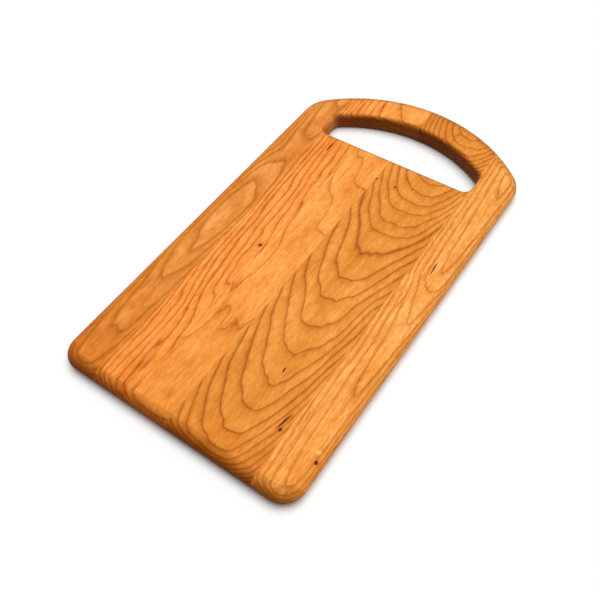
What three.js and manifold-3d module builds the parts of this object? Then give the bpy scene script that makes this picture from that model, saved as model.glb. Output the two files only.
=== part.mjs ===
import * as THREE from "three";
import { mergeVertices } from "three/addons/utils/BufferGeometryUtils.js";
import Module from "manifold-3d";

// A hardwood cutting board with a hand opening, glued up edge to edge from five strips of cherry.
// Millimetres, +Z up. The board lies on its underside: x runs across the strips and y along their
// grain, with the handle at +y. The origin is in the middle of the footprint, on the underside.

const wasm = await Module();
wasm.setup();

// Driving dimensions: the strips, from left to right, and the glue between them.
const leftRailWidth = 39.8;
const leftStaveWidth = 36.7;
const middleStaveWidth = 37.8;
const rightStaveWidth = 78.5;
const rightRailWidth = 35;
const glueThickness = 0.2;

// Driving dimensions: the outline.
const boardLength = 412;
const boardThickness = 16;
const edgeRadius = 12; // the rounding of the outer edge, above and below
const edgeNoseRadius = 4; // and between the two, at half thickness
const footCornerRadius = 19; // the two corners away from the handle
const shoulderRadius = 31; // where a side turns into the arch
const archRadius = 155; // the arched end of the handle

// Driving dimensions: the hand opening, whose lower edge is straight and whose upper edge is an arch.
const barWidth = 35.5; // wood left above the opening, at the top of its arch
const openingHeight = 50;
const openingArchRadius = 134;
const openingCornerRadius = 8;
const openingEdgeRadius = 4.4;
const cutIntoLeftRail = 3.9; // how far each end of the opening runs into its rail
const cutIntoRightRail = 0.2;

// How finely the curves are divided.
const cornerSteps = 8;
const archSteps = 28;
const edgeSteps = 5;
const noseSteps = 2;
const openingEdgeSteps = 4;

const cutterMargin = 5; // how far a cutting solid runs past what it cuts

// Every strip and glue line stands on a plane shared with its neighbour, worked out once.
const bands = [];
let bandStart = 0;
for (const [name, width, kind] of [
  ["left_rail", leftRailWidth, "rail"],
  ["glue_line_left_rail", glueThickness, "glue"],
  ["left", leftStaveWidth, "stave"],
  ["glue_line_left_middle", glueThickness, "glue"],
  ["middle", middleStaveWidth, "stave"],
  ["glue_line_middle_right", glueThickness, "glue"],
  ["right", rightStaveWidth, "stave"],
  ["glue_line_right_rail", glueThickness, "glue"],
  ["right_rail", rightRailWidth, "rail"],
]) {
  bands.push({ name, kind, from: bandStart, to: bandStart + width });
  bandStart += width;
}
const halfWidth = bandStart / 2;
for (const band of bands) {
  band.from -= halfWidth;
  band.to -= halfWidth;
}
const bandNamed = (name) => bands.find((band) => band.name === name);

const footY = -boardLength / 2;
const handleY = boardLength / 2;
const openingTopY = handleY - barWidth;
const openingBottomY = openingTopY - openingHeight;
const openingLeftX = bandNamed("left_rail").to - cutIntoLeftRail;
const openingRightX = bandNamed("right_rail").from + cutIntoRightRail;

// Points on an arc, from one angle anticlockwise to the other.
function arcPoints(x, y, radius, from, to, steps) {
  return new THREE.EllipseCurve(x, y, radius, radius, from, to).getPoints(steps);
}

// The board's outline, drawn in by inset all round. It runs anticlockwise from the left foot corner.
function boardOutline(inset) {
  const footX = halfWidth - footCornerRadius;
  const shoulderX = halfWidth - shoulderRadius;
  const archY = handleY - archRadius;
  const shoulderAngle = Math.acos(shoulderX / (archRadius - shoulderRadius));
  const shoulderY = archY + (archRadius - shoulderRadius) * Math.sin(shoulderAngle);
  const corner = (side, from, to) =>
    arcPoints(side * footX, footY + footCornerRadius, footCornerRadius - inset, from, to, cornerSteps);
  const shoulder = (side, from, to) =>
    arcPoints(side * shoulderX, shoulderY, shoulderRadius - inset, from, to, cornerSteps);
  const arc = arcPoints(0, archY, archRadius - inset, shoulderAngle, Math.PI - shoulderAngle, archSteps);
  return [
    ...corner(-1, Math.PI, 1.5 * Math.PI),
    ...corner(1, 1.5 * Math.PI, 2 * Math.PI),
    ...shoulder(1, 0, shoulderAngle),
    ...arc.slice(1, -1), // its ends are the shoulders' own
    ...shoulder(-1, Math.PI - shoulderAngle, Math.PI),
  ];
}

// Where the opening's four rounded corners have their centres: left and right in x, and in y the
// lower pair and the two upper ones, which lie under the arch.
function openingCorners() {
  const archY = openingTopY - openingArchRadius;
  const underArch = (x, radius) => archY + Math.sqrt((openingArchRadius - radius) ** 2 - x ** 2);
  const shorterEnd = Math.min(underArch(openingLeftX, 0), underArch(openingRightX, 0)) - openingBottomY;
  const radius = Math.min(openingCornerRadius, shorterEnd / 2.2); // the end walls limit the corners
  const left = openingLeftX + radius;
  const right = openingRightX - radius;
  const lowerY = openingBottomY + radius;
  const leftY = underArch(left, radius);
  const rightY = underArch(right, radius);
  return { archY, radius, left, right, lowerY, leftY, rightY };
}

// The hand opening's outline, widened by spread all round, anticlockwise from the lower left corner.
function openingOutline(spread) {
  const { archY, radius, left, right, lowerY, leftY, rightY } = openingCorners();
  const angleAt = (x) => Math.acos(x / (openingArchRadius - radius));
  const corner = (x, y, from, to) => arcPoints(x, y, radius + spread, from, to, cornerSteps);
  const arc = arcPoints(0, archY, openingArchRadius + spread, angleAt(right), angleAt(left), archSteps);
  return [
    ...corner(left, lowerY, Math.PI, 1.5 * Math.PI),
    ...corner(right, lowerY, 1.5 * Math.PI, 2 * Math.PI),
    ...corner(right, rightY, 0, angleAt(right)),
    ...arc.slice(1, -1),
    ...corner(left, leftY, angleAt(left), Math.PI),
  ];
}

// Heights through the thickness with the setback of a rounded edge at each, from the underside up.
// Roundings too large for the thickness are joined round the nose of the edge by a smaller arc.
function roundedEdge(radius, steps, nose = 0) {
  const middle = boardThickness / 2;
  const noseAngle = radius > middle ? Math.asin((radius - middle) / (radius - nose)) : 0;
  const noseCentre = (radius - nose) * Math.cos(noseAngle);
  const reach = radius > middle ? noseCentre + nose : radius;
  const lower = [];
  for (let step = 0; step <= steps; step++) {
    const angle = ((Math.PI / 2 - noseAngle) * step) / steps;
    lower.push({ z: radius * (1 - Math.cos(angle)), setback: reach - radius * Math.sin(angle) });
  }
  const upper = (levels) => levels.map(({ z, setback }) => ({ z: boardThickness - z, setback })).reverse();
  if (radius <= middle) {
    return [...lower, ...upper(lower)];
  }
  for (let step = 1; step <= noseSteps; step++) {
    const angle = noseAngle * (1 - step / noseSteps);
    lower.push({ z: middle - nose * Math.sin(angle), setback: nose * (1 - Math.cos(angle)) });
  }
  return [...lower, ...upper(lower.slice(0, -1))];
}

// A closed solid through a stack of outlines with equal point counts, the lowest first.
function stackedSolid(levels) {
  const count = levels[0].points.length;
  const topStart = (levels.length - 1) * count;
  const positions = levels.flatMap(({ z, points }) => points.flatMap((point) => [point.x, point.y, z]));
  const index = [];
  for (let level = 0; level < levels.length - 1; level++) {
    for (let i = 0; i < count; i++) {
      const a = level * count + i;
      const b = level * count + ((i + 1) % count);
      index.push(a, b, b + count, a, b + count, a + count);
    }
  }
  for (const [a, b, c] of THREE.ShapeUtils.triangulateShape(levels[0].points, [])) {
    index.push(c, b, a);
  }
  for (const [a, b, c] of THREE.ShapeUtils.triangulateShape(levels.at(-1).points, [])) {
    index.push(topStart + a, topStart + b, topStart + c);
  }
  const geometry = new THREE.BufferGeometry();
  geometry.setAttribute("position", new THREE.Float32BufferAttribute(positions, 3));
  geometry.setIndex(index);
  return geometry;
}

// A block with its corners at exactly the given coordinates, so that neighbours share their planes.
function blockBetween(low, high) {
  const geometry = new THREE.BoxGeometry(1, 1, 1);
  const position = geometry.getAttribute("position");
  for (let i = 0; i < position.count; i++) {
    position.setXYZ(
      i,
      position.getX(i) < 0 ? low.x : high.x,
      position.getY(i) < 0 ? low.y : high.y,
      position.getZ(i) < 0 ? low.z : high.z,
    );
  }
  return geometry;
}

function toSolid(geometry) {
  const bare = geometry.clone();
  bare.deleteAttribute("normal");
  bare.deleteAttribute("uv");
  const merged = mergeVertices(bare, 1e-4);
  return new wasm.Manifold(
    new wasm.Mesh({
      numProp: 3,
      vertProperties: merged.getAttribute("position").array,
      triVerts: new Uint32Array(merged.index.array),
    }),
  );
}

function toGeometry(solid) {
  const mesh = solid.getMesh();
  const geometry = new THREE.BufferGeometry();
  geometry.setAttribute("position", new THREE.Float32BufferAttribute(mesh.vertProperties, 3));
  geometry.setIndex(new THREE.BufferAttribute(mesh.triVerts, 1));
  geometry.computeVertexNormals();
  return geometry;
}

// The whole board before it is divided: rounded all round, with the hand opening cut through it.
function boardSolid() {
  const blank = stackedSolid(
    roundedEdge(edgeRadius, edgeSteps, edgeNoseRadius).map(({ z, setback }) => ({
      z,
      points: boardOutline(setback),
    })),
  );
  const edge = roundedEdge(openingEdgeRadius, openingEdgeSteps).map(({ z, setback }) => ({
    z,
    points: openingOutline(setback),
  }));
  const plug = stackedSolid([
    { z: -cutterMargin, points: edge[0].points },
    ...edge,
    { z: boardThickness + cutterMargin, points: edge.at(-1).points },
  ]);
  return toSolid(blank).subtract(toSolid(plug));
}

// What lies between two upright planes across the board, from one y to another.
function boardPart(board, band, fromY, toY) {
  const low = new THREE.Vector3(band.from, fromY, -cutterMargin);
  const high = new THREE.Vector3(band.to, toY, boardThickness + cutterMargin);
  return board.intersect(toSolid(blockBetween(low, high)));
}

const finishes = {
  rail: { color: 0xc9772f, roughness: 0.42, metalness: 0 },
  stave: { color: 0xd48a41, roughness: 0.42, metalness: 0 },
  glue: { color: 0x8a5526, roughness: 0.5, metalness: 0 },
};

function pieceMesh(name, kind, solid) {
  const mesh = new THREE.Mesh(toGeometry(solid), new THREE.MeshStandardMaterial(finishes[kind]));
  mesh.name = name;
  return mesh;
}

const board = boardSolid();
const cuttingBoard = new THREE.Group();
const wholeLength = [footY - cutterMargin, handleY + cutterMargin];

// Level with the upright part of the opening's end walls, between the lower and the upper corners.
const { lowerY, leftY, rightY } = openingCorners();
const throughOpeningY = (lowerY + Math.min(leftY, rightY)) / 2;

// The rails run the whole length. The opening cuts each strip between them into a long stave and
// the block above it that makes the handle, and it cuts each glue line in two in the same way.
for (const band of bands) {
  if (band.kind === "rail") {
    cuttingBoard.add(pieceMesh(band.name, band.kind, boardPart(board, band, ...wholeLength)));
    continue;
  }
  const names =
    band.kind === "glue"
      ? [`${band.name}_body`, `${band.name}_handle`]
      : [`body_stave_${band.name}`, `handle_block_${band.name}`];
  const cuts = [wholeLength[0], throughOpeningY, wholeLength[1]];
  names.forEach((name, i) => {
    cuttingBoard.add(pieceMesh(name, band.kind, boardPart(board, band, cuts[i], cuts[i + 1])));
  });
}

export default cuttingBoard;
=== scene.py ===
import math

import bmesh
import bpy
from mathutils import Matrix, Vector


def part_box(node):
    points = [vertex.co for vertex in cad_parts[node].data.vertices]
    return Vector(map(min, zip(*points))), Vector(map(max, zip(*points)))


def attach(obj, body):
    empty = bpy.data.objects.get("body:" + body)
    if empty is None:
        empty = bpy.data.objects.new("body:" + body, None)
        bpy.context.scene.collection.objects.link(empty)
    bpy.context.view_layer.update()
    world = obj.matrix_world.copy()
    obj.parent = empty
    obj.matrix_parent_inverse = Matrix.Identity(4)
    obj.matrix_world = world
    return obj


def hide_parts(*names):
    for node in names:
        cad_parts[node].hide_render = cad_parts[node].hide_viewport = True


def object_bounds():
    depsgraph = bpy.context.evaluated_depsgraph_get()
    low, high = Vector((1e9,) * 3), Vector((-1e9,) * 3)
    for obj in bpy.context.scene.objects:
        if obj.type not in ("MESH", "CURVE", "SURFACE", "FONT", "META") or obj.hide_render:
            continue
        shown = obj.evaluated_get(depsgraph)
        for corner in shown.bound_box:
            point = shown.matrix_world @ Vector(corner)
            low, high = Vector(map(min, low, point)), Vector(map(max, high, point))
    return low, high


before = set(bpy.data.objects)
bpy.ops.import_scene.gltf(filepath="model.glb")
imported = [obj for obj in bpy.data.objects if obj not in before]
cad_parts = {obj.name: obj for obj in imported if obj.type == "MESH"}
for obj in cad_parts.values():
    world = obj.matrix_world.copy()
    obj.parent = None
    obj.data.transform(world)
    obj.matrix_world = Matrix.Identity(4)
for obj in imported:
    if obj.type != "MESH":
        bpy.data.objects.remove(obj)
cadLow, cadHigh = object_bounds()
print("frame loaded:", len(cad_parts), "nodes")

mm = 0.001
boardFoot = cadLow.y / mm      # the end away from the handle
boardHandle = cadHigh.y / mm   # the top of the arch
boardTop = cadHigh.z / mm      # thickness, since the underside is at zero
halfWidth = cadHigh.x / mm

# the sawn outline and its rounding, in mm, in finer steps than the frame's own facets
board = {
    "edgeRadius": 12,          # the big soft rounding, above and below
    "edgeNose": 4,             # the tighter curve between the two at half thickness
    "footCorner": 19,
    "shoulder": 31,            # side into arch
    "arch": 155,
    "bar": 35.5,               # wood left above the opening
    "openingHeight": 50,
    "openingArch": 134,
    "openingCorner": 8,
    "openingEdge": 4.4,        # the rounding of the opening's edges
    "intoLeftRail": 3.9,       # how far each end of the opening runs into its rail
    "intoRightRail": 0.2,
    "cornerSteps": 20,
    "archSteps": 90,
    "edgeSteps": 12,
    "noseSteps": 4,
    "openingSteps": 10,
    "flatBorder": 1.5,         # a ring of faces inside the rounding, that holds the flat face's normals
    "sameSide": 0.01,          # a strip this close to the board's own side needs no cut there
    "onTheCut": 0.0001,        # a corner this close to a cut counts as on it
}


def arcPoints(x, y, radius, start, end, steps):
    angles = [start + (end - start) * i / steps for i in range(steps + 1)]
    return [(x + radius * math.cos(a), y + radius * math.sin(a)) for a in angles]


def outerOutline(inset):  # anticlockwise from the left foot corner
    foot, shoulder, arch = board["footCorner"], board["shoulder"], board["arch"]
    footX, footY = halfWidth - foot, boardFoot + foot
    shoulderX, archY = halfWidth - shoulder, boardHandle - arch
    turn = math.acos(shoulderX / (arch - shoulder))
    shoulderY = archY + (arch - shoulder) * math.sin(turn)
    steps = board["cornerSteps"]
    return (
        arcPoints(-footX, footY, foot - inset, math.pi, 1.5 * math.pi, steps)
        + arcPoints(footX, footY, foot - inset, 1.5 * math.pi, 2 * math.pi, steps)
        + arcPoints(shoulderX, shoulderY, shoulder - inset, 0, turn, steps)
        + arcPoints(0, archY, arch - inset, turn, math.pi - turn, board["archSteps"])[1:-1]
        + arcPoints(-shoulderX, shoulderY, shoulder - inset, math.pi - turn, math.pi, steps)
    )


def openingCorners():
    arch, radius = board["openingArch"], board["openingCorner"]
    archY = boardHandle - board["bar"] - arch
    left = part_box("left_rail")[1].x / mm - board["intoLeftRail"] + radius
    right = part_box("right_rail")[0].x / mm + board["intoRightRail"] - radius
    lowerY = boardHandle - board["bar"] - board["openingHeight"] + radius
    leftY = archY + math.sqrt((arch - radius) ** 2 - left ** 2)
    rightY = archY + math.sqrt((arch - radius) ** 2 - right ** 2)
    return archY, left, right, lowerY, leftY, rightY


def openingOutline(spread):  # anticlockwise from the lower left corner
    arch, radius = board["openingArch"], board["openingCorner"]
    archY, left, right, lowerY, leftY, rightY = openingCorners()
    leftTurn = math.acos(left / (arch - radius))
    rightTurn = math.acos(right / (arch - radius))
    steps, size = board["cornerSteps"], radius + spread
    return (
        arcPoints(left, lowerY, size, math.pi, 1.5 * math.pi, steps)
        + arcPoints(right, lowerY, size, 1.5 * math.pi, 2 * math.pi, steps)
        + arcPoints(right, rightY, size, 0, rightTurn, steps)
        + arcPoints(0, archY, arch + spread, rightTurn, leftTurn, board["archSteps"])[1:-1]
        + arcPoints(left, leftY, size, leftTurn, math.pi, steps)
    )


def edgeLevels(radius, steps, nose=0):  # (height, setback) from the underside up
    middle = boardTop / 2
    noseAngle = math.asin((radius - middle) / (radius - nose)) if radius > middle else 0
    reach = (radius - nose) * math.cos(noseAngle) + nose if radius > middle else radius
    lower = [(0, reach + board["flatBorder"])]
    for step in range(steps + 1):
        angle = (math.pi / 2 - noseAngle) * step / steps
        lower.append((radius * (1 - math.cos(angle)), reach - radius * math.sin(angle)))
    if radius <= middle:
        return lower + [(boardTop - z, setback) for z, setback in reversed(lower)]
    for step in range(1, board["noseSteps"] + 1):
        angle = noseAngle * (1 - step / board["noseSteps"])
        lower.append((middle - nose * math.sin(angle), nose * (1 - math.cos(angle))))
    return lower + [(boardTop - z, setback) for z, setback in reversed(lower[:-1])]


def ringStack(bm, levels, outline):
    rings = []
    for z, setback in levels:
        rings.append([bm.verts.new((x * mm, y * mm, z * mm)) for x, y in outline(setback)])
    count = len(rings[0])
    for low, high in zip(rings, rings[1:]):
        for i in range(count):
            j = (i + 1) % count
            bm.faces.new((low[i], low[j], high[j], high[i]))
    return rings[0], rings[-1]


def loopEdges(bm, ring):
    return [bm.edges.get((a, b)) for a, b in zip(ring, ring[1:] + ring[:1])]


def wholeBoard():
    bm = bmesh.new()
    outerLevels = edgeLevels(board["edgeRadius"], board["edgeSteps"], board["edgeNose"])
    openingLevels = edgeLevels(board["openingEdge"], board["openingSteps"])
    outer = ringStack(bm, outerLevels, outerOutline)
    opening = ringStack(bm, openingLevels, openingOutline)
    for outerRing, openingRing in zip(outer, opening):  # the underside, then the work face
        edges = loopEdges(bm, outerRing) + loopEdges(bm, openingRing)
        bmesh.ops.triangle_fill(bm, use_beauty=True, edges=edges)
    bmesh.ops.recalc_face_normals(bm, faces=bm.faces)
    return bm


def cutPiece(whole, name):  # saws one of the frame's pieces out of the board, and closes its cut faces
    low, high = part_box(name)
    lowerY, leftY, rightY = openingCorners()[3:]
    splitY = (lowerY + min(leftY, rightY)) / 2 * mm  # through the middle of the opening's end walls
    bm = whole.copy()
    cuts = [(Vector((low.x, 0, 0)), Vector((-1, 0, 0))), (Vector((high.x, 0, 0)), Vector((1, 0, 0)))]
    if not name.endswith("_rail"):
        away = 1 if high.y < splitY else -1
        cuts.append((Vector((0, splitY, 0)), Vector((0, away, 0))))
    for place, outward in cuts:
        if abs(place.x) > (halfWidth - board["sameSide"]) * mm:
            continue
        bmesh.ops.bisect_plane(
            bm, geom=bm.verts[:] + bm.edges[:] + bm.faces[:], dist=board["onTheCut"] * mm,
            plane_co=place, plane_no=outward, clear_outer=True,
        )
        rim = [edge for edge in bm.edges if edge.is_boundary]
        for face in bmesh.ops.holes_fill(bm, edges=rim, sides=0)["faces"]:
            for edge in face.edges:
                edge.smooth = False  # a sawn face meets the sanded surface at a sharp edge
    bmesh.ops.recalc_face_normals(bm, faces=bm.faces)
    for face in bm.faces:
        face.smooth = True
    mesh = bpy.data.meshes.new(name + "_mesh")
    bm.to_mesh(mesh)
    bm.free()
    return mesh


def toLinear(hexColour):
    channels = [int(hexColour[i : i + 2], 16) / 255 for i in (1, 3, 5)]
    return tuple(c / 12.92 if c <= 0.04045 else ((c + 0.055) / 1.055) ** 2.4 for c in channels) + (1,)


# Adds a node with its settings and links. An input is a number, a colour, a node or one of its outputs.
def addNode(tree, kind, inputs=(), points=None, **settings):
    node = tree.nodes.new("ShaderNode" + kind)
    column, row = divmod(len(tree.nodes), 10)
    node.location = (column * 200, -row * 180)  # laid out in columns of ten
    for name, value in settings.items():
        setattr(node, name, value)
    for socket, value in inputs.items() if isinstance(inputs, dict) else enumerate(inputs):
        if isinstance(value, bpy.types.Node):
            value = next(output for output in value.outputs if output.enabled)
        if isinstance(value, bpy.types.NodeSocket):
            tree.links.new(value, node.inputs[socket])
        else:
            node.inputs[socket].default_value = value
    if points:  # of a Float Curve, each (place, value) from 0 to 1
        curve = node.mapping.curves[0].points
        while len(curve) < len(points):
            curve.new(0.5, 0.5)
        for spot, (place, value) in zip(curve, points):
            spot.location = (place, value)
        node.mapping.update()
    return node


# Cherry, planed, sanded smooth and oiled: a warm orange gold with a satin surface, crossed by soft dark
# ring lines. Each strip was sawn at its own place in the log, so its growth rings are cylinders round
# a pith line above the board. All in mm; along the strip y runs from the foot to the handle.
#   finish                   what the eye sees, for the material's name
#   ring                     from one ring line to the next
#   pith, depth              (y, place) of the pith: across the board, and above the work face
#   tone                     (y, brightness), lowest at the foot on every strip
#   flat                     how blunt the tips of the arches are
#   leftHalf, rightHalf      (y, stretch) how fast the rings grow outwards on each side of the pith
#   light, shade, line       the wood, the darker wood just outside a ring line, and the line
#   lineWidth                how far a line fades towards the pith, and away from it
#   lineStrength, lateWood   how strongly the line and the darker wood show
#   fade                     how soon the darker wood ends
#   boldRadius               the ring with a heavier line, or 0
#   wave, ripple             how far the tree wandered from round, slowly and quickly
#   seed                     which part of the noise textures the strip uses
#   cloud, mottle, streak, fibre   how much each kind of figure lightens and darkens the wood
#   swells                   (x, y, half width, half length, lean, lift) where the rings bulge
#   marks                    (kind, x, y, half width, half length, lean) of what cherryMarks lists
cherryStrips = {
    "left_rail": {
        "finish": "oiled sanded cherry, browner",
        "ring": 2.4,
        "pith": [(-206, -90), (-120, -90), (-60, -91), (0, -90), (60, -88), (120, -86), (206, -92)],
        "depth": [(-206, 26.2), (-160, 24), (-97, 21.6), (-62, 19.2), (-17, 17.6), (27, 19.2),
                  (68, 21.4), (85, 22.3), (104, 21.6), (145, 19.6), (206, 17.5)],
        "tone": [(-206, 0.74), (-170, 0.82), (-140, 0.92), (-40, 1.04), (20, 1.04), (60, 1.0),
                 (90, 0.9), (110, 1.04), (206, 1.08)],
        "flat": 5,
        "leftHalf": [(-206, 0.86), (206, 0.86)],
        "rightHalf": [(-206, 0.86), (206, 0.86)],
        "light": "#d9893c", "shade": "#c27028", "line": "#9b4b01",
        "lineWidth": (1.3, 1.6), "lineStrength": 0.7, "lateWood": 1.0, "fade": 2, "boldRadius": 0,
        "wave": 0.6, "ripple": 0.14, "seed": 1.3,
        "cloud": 0.22, "mottle": 0.2, "streak": 0.1, "fibre": 0.2,
        "swells": [],
        "marks": [("stain", -99, -114, 4, 12, 0)],
    },
    "left_stave": {
        "finish": "oiled sanded cherry, reddish",
        "ring": 3.0,
        "pith": [(-206, -18), (-120, -20), (0, -21), (100, -23), (206, -24)],
        "depth": [(-206, 72), (-130, 72), (-100, 69), (-65, 65), (60, 59), (206, 52)],
        "tone": [(-206, 0.84), (-140, 0.96), (-40, 1.02), (60, 1.04), (100, 0.98), (206, 0.98)],
        "flat": 0.5,
        "leftHalf": [(-206, 1.0), (206, 1.0)],
        "rightHalf": [(-206, 1.0), (206, 1.0)],
        "light": "#e88f3f", "shade": "#d57c2f", "line": "#a34c01",
        "lineWidth": (0.7, 0.7), "lineStrength": 1.25, "lateWood": 0.7, "fade": 3, "boldRadius": 0,
        "wave": 0.9, "ripple": 0.45, "seed": 4.1,
        "cloud": 0.22, "mottle": 0.16, "streak": 0.16, "fibre": 0.3,
        "swells": [],
        "marks": [("blush", -55, 103, 12, 20, 0), ("blush", -48, 30, 8, 52, 0), ("blush", -42, -62, 5, 44, 0),
                  ("knot", -42, -30, 2.1, 2.3, 0), ("gum", -59, 105, 0.9, 7, 0)],
    },
    "middle_stave": {
        "finish": "oiled sanded cherry, pale golden",
        "ring": 6.0,
        "pith": [(-206, -15), (-110, -15), (0, -4), (76, -7), (206, -12)],
        "depth": [(-206, 117.8), (-105, 114), (7, 108), (76, 102), (125, 96.3), (173, 90), (206, 87)],
        "tone": [(-206, 0.86), (-140, 0.96), (-80, 1.02), (206, 1.02)],
        "flat": 8,
        "leftHalf": [(-206, 1.0), (-20, 1.0), (20, 1.25), (206, 0.95)],
        "rightHalf": [(-206, 1.0), (206, 1.0)],
        "light": "#e18f3f", "shade": "#d48030", "line": "#a55202",
        "lineWidth": (0.9, 1.3), "lineStrength": 0.9, "lateWood": 0.7, "fade": 3, "boldRadius": 0,
        "wave": 0.5, "ripple": 0.25, "seed": 7.7,
        "cloud": 0.2, "mottle": 0.16, "streak": 0.18, "fibre": 0.24,
        "swells": [(-46, -116, 21, 60, 0, -8), (-42, -33, 24, 46, 0, 6.5), (-20, 38, 12, 42, 0, 2.5),
                   (-22, 100, 12, 32, 0, 2.3)],
        "marks": [("check", -4, -204, 0.8, 4, 0), ("stain", -13, -184, 6, 10, 0)],
    },
    "right_stave": {
        "finish": "oiled sanded cherry, olive lines",
        "ring": 3.0,
        "pith": [(-206, 42), (-130, 45), (-70, 45), (-18, 40), (40, 43), (110, 46), (206, 55)],
        "depth": [(-206, 116), (-197, 114), (-179, 111), (-156.5, 108), (-129.5, 105), (-99, 102),
                  (-73, 99), (-42.5, 96), (-18.5, 93), (14.5, 90), (37.5, 87), (51.5, 84), (69.5, 81),
                  (83, 78), (97, 75), (113.5, 72), (141, 66), (162, 60), (173.5, 57), (206, 48)],
        "tone": [(-206, 0.82), (-160, 0.92), (-90, 1.04), (-30, 1.05), (10, 0.98), (100, 0.97),
                 (206, 0.92)],
        "flat": 13,
        "leftHalf": [(-206, 1.1), (-60, 0.98), (206, 1.0)],
        "rightHalf": [(-206, 1.6), (-120, 1.55), (-50, 1.4), (20, 1.1), (80, 1.25), (206, 1.2)],
        "light": "#d68736", "shade": "#c0701d", "line": "#8c3b00",
        "lineWidth": (0.8, 1.1), "lineStrength": 1.0, "lateWood": 0.7, "fade": 3.5, "boldRadius": 90,
        "wave": 0.45, "ripple": 0.12, "seed": 2.6,
        "cloud": 0.2, "mottle": 0.18, "streak": 0.1, "fibre": 0.24,
        "swells": [],
        "marks": [("knot", 74.5, -161.5, 1.6, 2.2, 0), ("gum", 73.2, -154, 1.25, 11.5, -12),
                  ("knot", 21, 91.5, 1.0, 1.7, 0), ("knot", 1.2, 91.5, 0.9, 1.8, 0),
                  ("gum", 47.8, -119.5, 0.9, 3, 5)],
    },
    "right_rail": {
        "finish": "oiled sanded cherry, pale and straight",
        "ring": 2.4,
        "pith": [(-206, 108), (-117, 108), (-47, 111), (3, 109), (206, 107)],
        "depth": [(-206, 48), (-117, 45.6), (-47, 43.2), (3, 40.8), (20, 38.4), (125, 36), (206, 33)],
        "tone": [(-206, 0.9), (-140, 0.97), (-60, 1.02), (206, 1.03)],
        "flat": 2,
        "leftHalf": [(-206, 1.0), (206, 1.0)],
        "rightHalf": [(-206, 1.0), (206, 1.0)],
        "light": "#e49646", "shade": "#d68537", "line": "#ab5a03",
        "lineWidth": (0.8, 0.9), "lineStrength": 0.95, "lateWood": 0.6, "fade": 3, "boldRadius": 0,
        "wave": 0.28, "ripple": 0.1, "seed": 9.2,
        "cloud": 0.14, "mottle": 0.16, "streak": 0.26, "fibre": 0.34,
        "swells": [],
        "marks": [("knot", 110, -167.5, 1.8, 2.3, 0), ("fleck", 107.5, -160.5, 2.2, 4.0, -50),
                  ("gum", 96, 27, 0.8, 9, 3), ("fleck", 107, -123, 1.6, 5, -10),
                  ("fleck", 108.5, 12, 1.6, 2.5, 0), ("sapwood", 80.6, -206, 2.2, 5, 0)],
    },
}

# How each kind of mark looks: its colour, how much it covers the wood, how soft its rim is, and how
# many times its own size the reddish wood round it reaches.
cherryMarks = {
    "knot": {"colour": "#421404", "cover": 0.95, "rim": 0.5, "halo": 3.2},
    "gum": {"colour": "#4a1804", "cover": 0.95, "rim": 0.6, "halo": 0},
    "check": {"colour": "#7a2a08", "cover": 0.8, "rim": 0.6, "halo": 0},
    "fleck": {"colour": "#ffcf8a", "cover": 0.55, "rim": 1.1, "halo": 0},
    "blush": {"colour": "#d8602a", "cover": 0.32, "rim": 1.2, "halo": 0},
    "stain": {"colour": "#a85a18", "cover": 0.35, "rim": 1.0, "halo": 0},
    "sapwood": {"colour": "#f2c07c", "cover": 0.8, "rim": 0.3, "halo": 0},
}

# what all five strips share: the sizes of figure are mm across, along and through the board
cherryGrain = {
    "wandering": {"wave": (14, 70, 14), "ripple": (6, 34, 6)},
    "wanderingDetail": 1.5,
    "wanderingSpan": 3,              # times wave and ripple, because most of the noise lies near its middle
    "swellDepth": 40,
    "pithLean": -0.11,               # mm of depth for each mm along the strip
    "flattestFace": 0.05,            # the least slope at which a face is taken to cross the rings
    "boldLine": 2.6,                 # times as wide as the others
    "faintestLine": 0.55,            # of lineStrength, since every year's line differs
    "figure": {                      # size and detail
        "cloud": ((14, 40, 14), 2.0),
        "mottle": ((3, 6, 3), 2.0),
        "streak": ((1.5, 24, 1.5), 2.0),
        "fibre": ((0.6, 5, 0.6), 3.0),   # fibres 0.2 mm wide, drawn three times as wide so that they show
    },
    "noiseRange": (0.25, 0.75),      # where most of a noise texture's values lie
    "redPower": 0.48,                # darker wood keeps its red
    "bluePower": 2.4,                # and loses its blue
    "markDepth": 6,
    "markRagged": 0.8,               # how much the ripples push a mark's rim about
    "markEdge": 1.4,                 # where a mark ends, in half widths with that push added
    "halo": "#a8440c",
    "haloCover": 0.5,
    "soakedAndShadedEndGrain": (0.33, 0.225, 0.04),                     # what the oil that soaks in and painted shade leave of each colour
    "soakAndShadeSlants": ((0.03, 0.1, 0.26), (0.15, 1, 0.74)),     # from this slant, to this slant, by this share
    "roughness": (0.45, 0.58),
    "bump": 0.3,
    "fibreDepth": 0.03,
    "ior": 1.4,
    "specular": 0.09,                # the oil has sunk in, so little shine is left
}


def alongTheStrip(tree, strip, y):  # what changes from the foot to the handle
    along = addNode(tree, "MapRange", [y, boardFoot, boardHandle, 0, 1])
    changing = {}
    for key in ("pith", "depth", "tone", "leftHalf", "rightHalf"):
        values = [value for _, value in strip[key]]
        low, high = min(values) - 1, max(values) + 1  # the curve itself only holds values from 0 to 1
        points = [
            ((at - boardFoot) / (boardHandle - boardFoot), (value - low) / (high - low))
            for at, value in strip[key]
        ]
        curve = addNode(tree, "FloatCurve", {"Value": along}, points=points)
        changing[key] = addNode(tree, "MapRange", [curve, 0, 1, low, high])
    return changing


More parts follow.
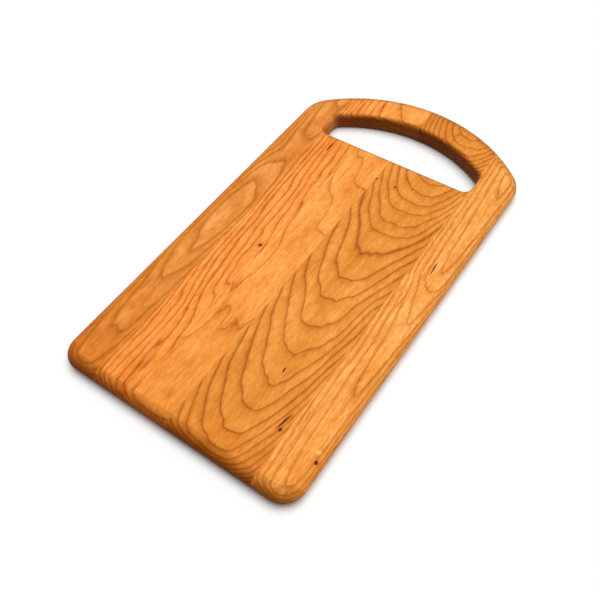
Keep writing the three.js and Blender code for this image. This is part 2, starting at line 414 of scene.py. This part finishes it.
def fromThePith(tree, strip, changing, x, z):  # how far away the pith is, sideways and in depth
    across = addNode(tree, "Math", [x, changing["pith"]], operation="SUBTRACT")
    rightSide = addNode(tree, "Math", [across, 0], operation="GREATER_THAN")
    halves = {"Factor": rightSide, 2: changing["leftHalf"], 3: changing["rightHalf"]}
    stretch = addNode(tree, "Mix", halves)
    across = addNode(tree, "Math", [across, stretch], operation="MULTIPLY")
    blunt = addNode(tree, "Math", [across, across, strip["flat"] ** 2], operation="MULTIPLY_ADD")
    blunt = addNode(tree, "Math", [blunt], operation="SQRT")
    apart = addNode(tree, "Math", [across], operation="ABSOLUTE")
    apart = addNode(tree, "Math", [apart, blunt], operation="DIVIDE")
    sideways = addNode(tree, "Math", [across, apart], operation="MULTIPLY")
    below = addNode(tree, "Math", [boardTop, z], operation="SUBTRACT")
    depth = addNode(tree, "Math", [changing["depth"], below], operation="ADD")
    return sideways, depth


def localTo(tree, place, x, y, lean, size):  # coordinates in a leaning ellipse, 1 at its rim
    ellipse = {
        "Vector": place, "Location": (x, y, boardTop),
        "Rotation": (0, 0, math.radians(lean)), "Scale": size,
    }
    local = addNode(tree, "Mapping", ellipse, vector_type="TEXTURE")
    return addNode(tree, "VectorMath", [local], operation="LENGTH").outputs["Value"]


def growUneven(tree, strip, place, radius):  # slow waves, small ripples that make the tips ragged, swells
    grown = radius
    ragged = None
    for key, size in cherryGrain["wandering"].items():
        space = addNode(tree, "VectorMath", [place, size], operation="DIVIDE")
        noise = {"Vector": space, "W": strip["seed"], "Scale": 1.0, "Detail": cherryGrain["wanderingDetail"]}
        ragged = addNode(tree, "TexNoise", noise, noise_dimensions="4D")
        span = cherryGrain["wanderingSpan"] * strip[key]
        offset = addNode(tree, "MapRange", [ragged, 0, 1, -span, span])
        grown = addNode(tree, "Math", [grown, offset], operation="ADD")
    for x, y, wide, long, lean, lift in strip["swells"]:
        away = localTo(tree, place, x, y, lean, (wide, long, cherryGrain["swellDepth"]))
        bulge = addNode(tree, "MapRange", [away, 0, 1, lift, 0], interpolation_type="SMOOTHSTEP")
        grown = addNode(tree, "Math", [grown, bulge], operation="ADD")
    return grown, ragged


# how wide a ring comes out on this face, in mm, from how steeply the face crosses the rings
def ringWidth(tree, strip, sideways, depth, normal):
    slope = addNode(tree, "Math", [depth, cherryGrain["pithLean"]], operation="MULTIPLY")
    downward = addNode(tree, "Math", [depth, -1.0], operation="MULTIPLY")
    towards = addNode(tree, "CombineXYZ", [sideways, slope, downward])
    towards = addNode(tree, "VectorMath", [towards], operation="NORMALIZE")
    outOfFace = addNode(tree, "VectorMath", [towards, normal], operation="DOT_PRODUCT").outputs["Value"]
    outOfFace = addNode(tree, "VectorMath", {0: normal, "Scale": outOfFace}, operation="SCALE")
    onFace = addNode(tree, "VectorMath", [towards, outOfFace], operation="SUBTRACT")
    steep = addNode(tree, "VectorMath", [onFace], operation="LENGTH").outputs["Value"]
    steep = addNode(tree, "Math", [steep, cherryGrain["flattestFace"]], operation="MAXIMUM")
    return addNode(tree, "Math", [strip["ring"], steep], operation="DIVIDE")


# a dark line stands where each ring starts, and the wood outside it is darker and fades slowly outwards
def ringColour(tree, strip, grown, width):
    ringNumber = addNode(tree, "Math", [grown, strip["ring"]], operation="DIVIDE")
    whichRing = addNode(tree, "Math", [ringNumber], operation="FLOOR")
    inRing = addNode(tree, "Math", [ringNumber], operation="FRACT")
    remaining = addNode(tree, "Math", [1.0, inRing], operation="SUBTRACT")

    fromBold = addNode(tree, "Math", [grown, strip["boldRadius"]], operation="SUBTRACT")
    fromBold = addNode(tree, "Math", [fromBold], operation="ABSOLUTE")
    bold = addNode(tree, "MapRange", [fromBold, 0, strip["ring"] / 2, cherryGrain["boldLine"], 1])
    width = addNode(tree, "Math", [width, bold], operation="DIVIDE")
    line = 0
    for part, reach in zip((remaining, inRing), strip["lineWidth"]):
        side = addNode(tree, "Math", [part, width], operation="MULTIPLY")
        side = addNode(tree, "Math", [side, -1 / reach], operation="MULTIPLY")
        side = addNode(tree, "Math", [side], operation="EXPONENT")
        line = addNode(tree, "Math", [line, side], operation="MAXIMUM")
    strength = addNode(tree, "TexWhiteNoise", {"W": whichRing}, noise_dimensions="1D")
    faintest = cherryGrain["faintestLine"] * strip["lineStrength"]
    strength = addNode(tree, "MapRange", [strength, 0, 1, faintest, strip["lineStrength"]])
    line = addNode(tree, "Math", [line, strength], operation="MULTIPLY", use_clamp=True)

    lateWood = addNode(tree, "Math", [remaining, strip["fade"]], operation="POWER")
    lateWood = addNode(tree, "Math", [lateWood, strip["lateWood"]], operation="MULTIPLY")
    shades = {0: lateWood, 6: toLinear(strip["light"]), 7: toLinear(strip["shade"])}
    plain = addNode(tree, "Mix", shades, data_type="RGBA").outputs[2]
    lined = {0: line, 6: plain, 7: toLinear(strip["line"])}
    return addNode(tree, "Mix", lined, data_type="RGBA", clamp_factor=True).outputs[2]


def figureShade(tree, strip, place, tone):  # cloudy patches, mottle, streaks and fibres
    shade = tone
    fibre = None
    for key, (size, detail) in cherryGrain["figure"].items():
        space = addNode(tree, "VectorMath", [place, size], operation="DIVIDE")
        noise = {"Vector": space, "W": strip["seed"], "Scale": 1.0, "Detail": detail}
        fibre = addNode(tree, "TexNoise", noise, noise_dimensions="4D")
        limits = [fibre, *cherryGrain["noiseRange"], 1 - strip[key], 1 + strip[key]]
        lighter = addNode(tree, "MapRange", limits)
        shade = addNode(tree, "Math", [shade, lighter], operation="MULTIPLY")
    return shade, fibre


def addMarks(tree, strip, place, ragged, colour):
    for kind, x, y, wide, long, lean in strip["marks"]:
        look = cherryMarks[kind]
        away = localTo(tree, place, x, y, lean, (wide, long, cherryGrain["markDepth"]))
        away = addNode(tree, "Math", [ragged, cherryGrain["markRagged"], away], operation="MULTIPLY_ADD")
        if look["halo"]:
            limits = [away, 0, look["halo"], cherryGrain["haloCover"], 0]
            cover = addNode(tree, "MapRange", limits, interpolation_type="SMOOTHSTEP")
            reddened = {0: cover, 6: colour, 7: toLinear(cherryGrain["halo"])}
            colour = addNode(tree, "Mix", reddened, data_type="RGBA").outputs[2]
        edge = cherryGrain["markEdge"]
        limits = [away, edge - look["rim"], edge, look["cover"], 0]
        cover = addNode(tree, "MapRange", limits, interpolation_type="SMOOTHSTEP")
        marked = {0: cover, 6: colour, 7: toLinear(look["colour"])}
        colour = addNode(tree, "Mix", marked, data_type="RGBA").outputs[2]
    return colour


# end grain drinks more oil and goes darker, at once where the rounding starts and then with its slant;
# painted shade darkens it further, so faces turned to the foot or the handle, like the foot's rounding and
# the opening's wall under the bar, come out darker
def soakAndShadeEndGrain(tree, normal, colour):
    slant = addNode(tree, "SeparateXYZ", [normal]).outputs["Y"]
    slant = addNode(tree, "Math", [slant], operation="ABSOLUTE")
    soakedAndShaded = 0
    for start, end, share in cherryGrain["soakAndShadeSlants"]:
        part = addNode(tree, "MapRange", [slant, start, end, 0, share], interpolation_type="SMOOTHSTEP")
        soakedAndShaded = addNode(tree, "Math", [part, soakedAndShaded], operation="ADD")
    # painted shade: faces turned to the foot or the handle are darkened further than the oil alone darkens
    # end grain
    dark = addNode(tree, "VectorMath", [colour, cherryGrain["soakedAndShadedEndGrain"]], operation="MULTIPLY")
    return addNode(tree, "Mix", {0: soakedAndShaded, 6: colour, 7: dark}, data_type="RGBA").outputs[2]


def newMaterial(name):
    material = bpy.data.materials.new(name)
    material.use_nodes = True
    material.node_tree.nodes.clear()
    return material, material.node_tree


def cherryWood(name, strip):
    material, tree = newMaterial(name + " " + strip["finish"])
    coordinates = addNode(tree, "TexCoord")
    normal = coordinates.outputs["Normal"]
    inMm = [coordinates.outputs["Object"], (1 / mm, 1 / mm, 1 / mm)]
    place = addNode(tree, "VectorMath", inMm, operation="MULTIPLY")
    x, y, z = addNode(tree, "SeparateXYZ", [place]).outputs

    changing = alongTheStrip(tree, strip, y)
    sideways, depth = fromThePith(tree, strip, changing, x, z)
    radius = addNode(tree, "CombineXYZ", [sideways, 0, depth])
    radius = addNode(tree, "VectorMath", [radius], operation="LENGTH").outputs["Value"]
    grown, ragged = growUneven(tree, strip, place, radius)
    width = ringWidth(tree, strip, sideways, depth, normal)
    colour = ringColour(tree, strip, grown, width)

    shade, fibre = figureShade(tree, strip, place, changing["tone"])
    red = addNode(tree, "Math", [shade, cherryGrain["redPower"]], operation="POWER")
    blue = addNode(tree, "Math", [shade, cherryGrain["bluePower"]], operation="POWER")
    tint = addNode(tree, "CombineXYZ", [red, shade, blue])
    colour = addNode(tree, "VectorMath", [colour, tint], operation="MULTIPLY")
    colour = addMarks(tree, strip, place, ragged, colour)
    # end grain darker from the oil, with painted shade on the faces turned to the foot or the handle
    colour = soakAndShadeEndGrain(tree, normal, colour)

    height = {
        "Strength": cherryGrain["bump"],
        "Distance": cherryGrain["fibreDepth"] * mm,
        "Height": fibre.outputs[0],
    }
    satin = [fibre, *cherryGrain["noiseRange"], *cherryGrain["roughness"]]
    surface = {
        "Base Color": colour,
        "Roughness": addNode(tree, "MapRange", satin),
        "IOR": cherryGrain["ior"],
        "Specular IOR Level": cherryGrain["specular"],
        "Normal": addNode(tree, "Bump", height),
    }
    addNode(tree, "OutputMaterial", [addNode(tree, "BsdfPrincipled", surface)])
    return material


# waterproof wood glue, squeezed thin and sanded flush: a fine amber brown line between the strips
glueLook = {
    "dark": "#9c561c",
    "light": "#b87428",
    "patches": 90.0,             # per metre, so about 11 mm each
    "patchDetail": 3.0,
    "soakAndShadeSlants": (0.1, 1),         # the slant where painted shade starts to darken it, as it darkens the end grain beside it
    "paintedShadeLeft": 0.35,         # and what is left of its colour on the steepest
    "roughness": (0.35, 0.5),
    "ior": 1.47,
    "specular": 0.1,
}


def glueMaterial():
    material, tree = newMaterial("cured amber wood glue")
    coordinates = addNode(tree, "TexCoord")
    patches = {
        "Vector": coordinates.outputs["Object"],
        "Scale": glueLook["patches"],
        "Detail": glueLook["patchDetail"],
    }
    uneven = addNode(tree, "TexNoise", patches)
    shades = {0: uneven, 6: toLinear(glueLook["dark"]), 7: toLinear(glueLook["light"])}
    amber = addNode(tree, "Mix", shades, data_type="RGBA").outputs[2]
    slant = addNode(tree, "SeparateXYZ", [coordinates.outputs["Normal"]]).outputs["Y"]
    slant = addNode(tree, "Math", [slant], operation="ABSOLUTE")
    # painted shade: the glue goes darker on faces turned to the foot or the handle
    shaded = addNode(tree, "MapRange", [slant, *glueLook["soakAndShadeSlants"], 1, glueLook["paintedShadeLeft"]])
    surface = {
        "Base Color": addNode(tree, "VectorMath", {0: amber, "Scale": shaded}, operation="SCALE"),
        "Roughness": addNode(tree, "MapRange", [uneven, 0, 1, *glueLook["roughness"]]),
        "IOR": glueLook["ior"],
        "Specular IOR Level": glueLook["specular"],
    }
    addNode(tree, "OutputMaterial", [addNode(tree, "BsdfPrincipled", surface)])
    return material


# which strip each piece was sawn from, and its slot
pieces = {
    "left_rail": ("left_rail", "cherry_rail"),
    "body_stave_left": ("left_stave", "cherry_stave"),
    "handle_block_left": ("left_stave", "cherry_stave"),
    "body_stave_middle": ("middle_stave", "cherry_stave"),
    "handle_block_middle": ("middle_stave", "cherry_stave"),
    "body_stave_right": ("right_stave", "cherry_stave"),
    "handle_block_right": ("right_stave", "cherry_stave"),
    "right_rail": ("right_rail", "cherry_rail"),
}

materials = {name: cherryWood(name, strip) for name, strip in cherryStrips.items()}
glue = glueMaterial()
print("materials made:", len(materials) + 1)

whole = wholeBoard()
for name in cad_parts:
    strip, slot = pieces.get(name, (None, "glue_line"))
    mesh = cutPiece(whole, name)
    mesh.materials.append(materials[strip] if strip else glue)
    piece = bpy.data.objects.new(name + "_piece", mesh)
    bpy.context.scene.collection.objects.link(piece)
    weighted = piece.modifiers.new("flat faces keep their normals", "WEIGHTED_NORMAL")
    weighted.keep_sharp = True
    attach(piece, "root")
    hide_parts(name)
whole.free()
print("pieces cut:", len(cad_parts))


# White paper under a wide softbox, overhead and a little towards the handle. It is a sun lamp with a wide
# disc, so it lights the whole floor evenly. The room is darker on the foot's side, which shades the
# rounding there.
stage = {
    "floorSize": 60.0,
    "floorColour": "#e6e6e6",
    "softboxFrom": (0.1, 0.45, 2.5),
    "softboxWidth": 60,              # degrees across, as seen from the board
    "softboxStrength": 3.3,
    "roomLight": (0.04, 0.5),        # from the foot's side, and from the handle's
    "backdrop": 1.0,
    "paperRoughness": 0.9,
    "paperSpecular": 0.1,
}

floorMesh = bpy.data.meshes.new("floor_mesh")
half = stage["floorSize"] / 2
floorCorners = [(-half, -half, 0), (half, -half, 0), (half, half, 0), (-half, half, 0)]
floorMesh.from_pydata(floorCorners, [], [(0, 1, 2, 3)])
floor = bpy.data.objects.new("floor", floorMesh)
bpy.context.scene.collection.objects.link(floor)
floorMaterial = bpy.data.materials.new("matt white paper")
floorMaterial.use_nodes = True
floorShader = floorMaterial.node_tree.nodes["Principled BSDF"]
floorShader.inputs["Base Color"].default_value = toLinear(stage["floorColour"])
floorShader.inputs["Roughness"].default_value = stage["paperRoughness"]
floorShader.inputs["Specular IOR Level"].default_value = stage["paperSpecular"]
floorMesh.materials.append(floorMaterial)

world = bpy.data.worlds.new("studio")
world.use_nodes = True
heading = addNode(world.node_tree, "TexCoord").outputs["Generated"]
headingY = addNode(world.node_tree, "SeparateXYZ", [heading]).outputs["Y"]
roomLight = addNode(world.node_tree, "MapRange", [headingY, -1, 1, *stage["roomLight"]])
seenDirectly = addNode(world.node_tree, "LightPath").outputs["Is Camera Ray"]
brightness = addNode(world.node_tree, "Mix", {0: seenDirectly, 2: roomLight, 3: stage["backdrop"]})
background = world.node_tree.nodes["Background"]
background.inputs["Color"].default_value = (1, 1, 1, 1)
world.node_tree.links.new(brightness.outputs[0], background.inputs["Strength"])
bpy.context.scene.world = world

softboxLight = bpy.data.lights.new("softbox", "SUN")
softboxLight.angle = math.radians(stage["softboxWidth"])
softboxLight.energy = stage["softboxStrength"]
softbox = bpy.data.objects.new("softbox", softboxLight)
softbox.location = stage["softboxFrom"]
softbox.rotation_euler = Vector(stage["softboxFrom"]).to_track_quat("Z", "Y").to_euler()
bpy.context.scene.collection.objects.link(softbox)

view = {
    "aim": (16.9 * mm, -54.8 * mm, 8 * mm),
    "azimuth": 39.03,      # round from the foot end towards the right rail
    "elevation": 54.3,
    "roll": -5.06,
    "distance": 0.5913,
    "lens": 42.78,
    "sensor": 36,
}
azimuth, elevation = math.radians(view["azimuth"]), math.radians(view["elevation"])
level = math.cos(elevation)
back = Vector((math.sin(azimuth) * level, -math.cos(azimuth) * level, math.sin(elevation)))
cameraData = bpy.data.cameras.new("camera")
cameraData.lens = view["lens"]
cameraData.sensor_width = view["sensor"]
cameraData.dof.use_dof = False
camera = bpy.data.objects.new("camera", cameraData)
turn = back.to_track_quat("Z", "Y").to_matrix() @ Matrix.Rotation(math.radians(view["roll"]), 3, "Z")
camera.matrix_world = Matrix.Translation(Vector(view["aim"]) + back * view["distance"]) @ turn.to_4x4()
bpy.context.scene.collection.objects.link(camera)
bpy.context.scene.camera = camera
bpy.context.scene.view_settings.view_transform = "Standard"
print("stage set")
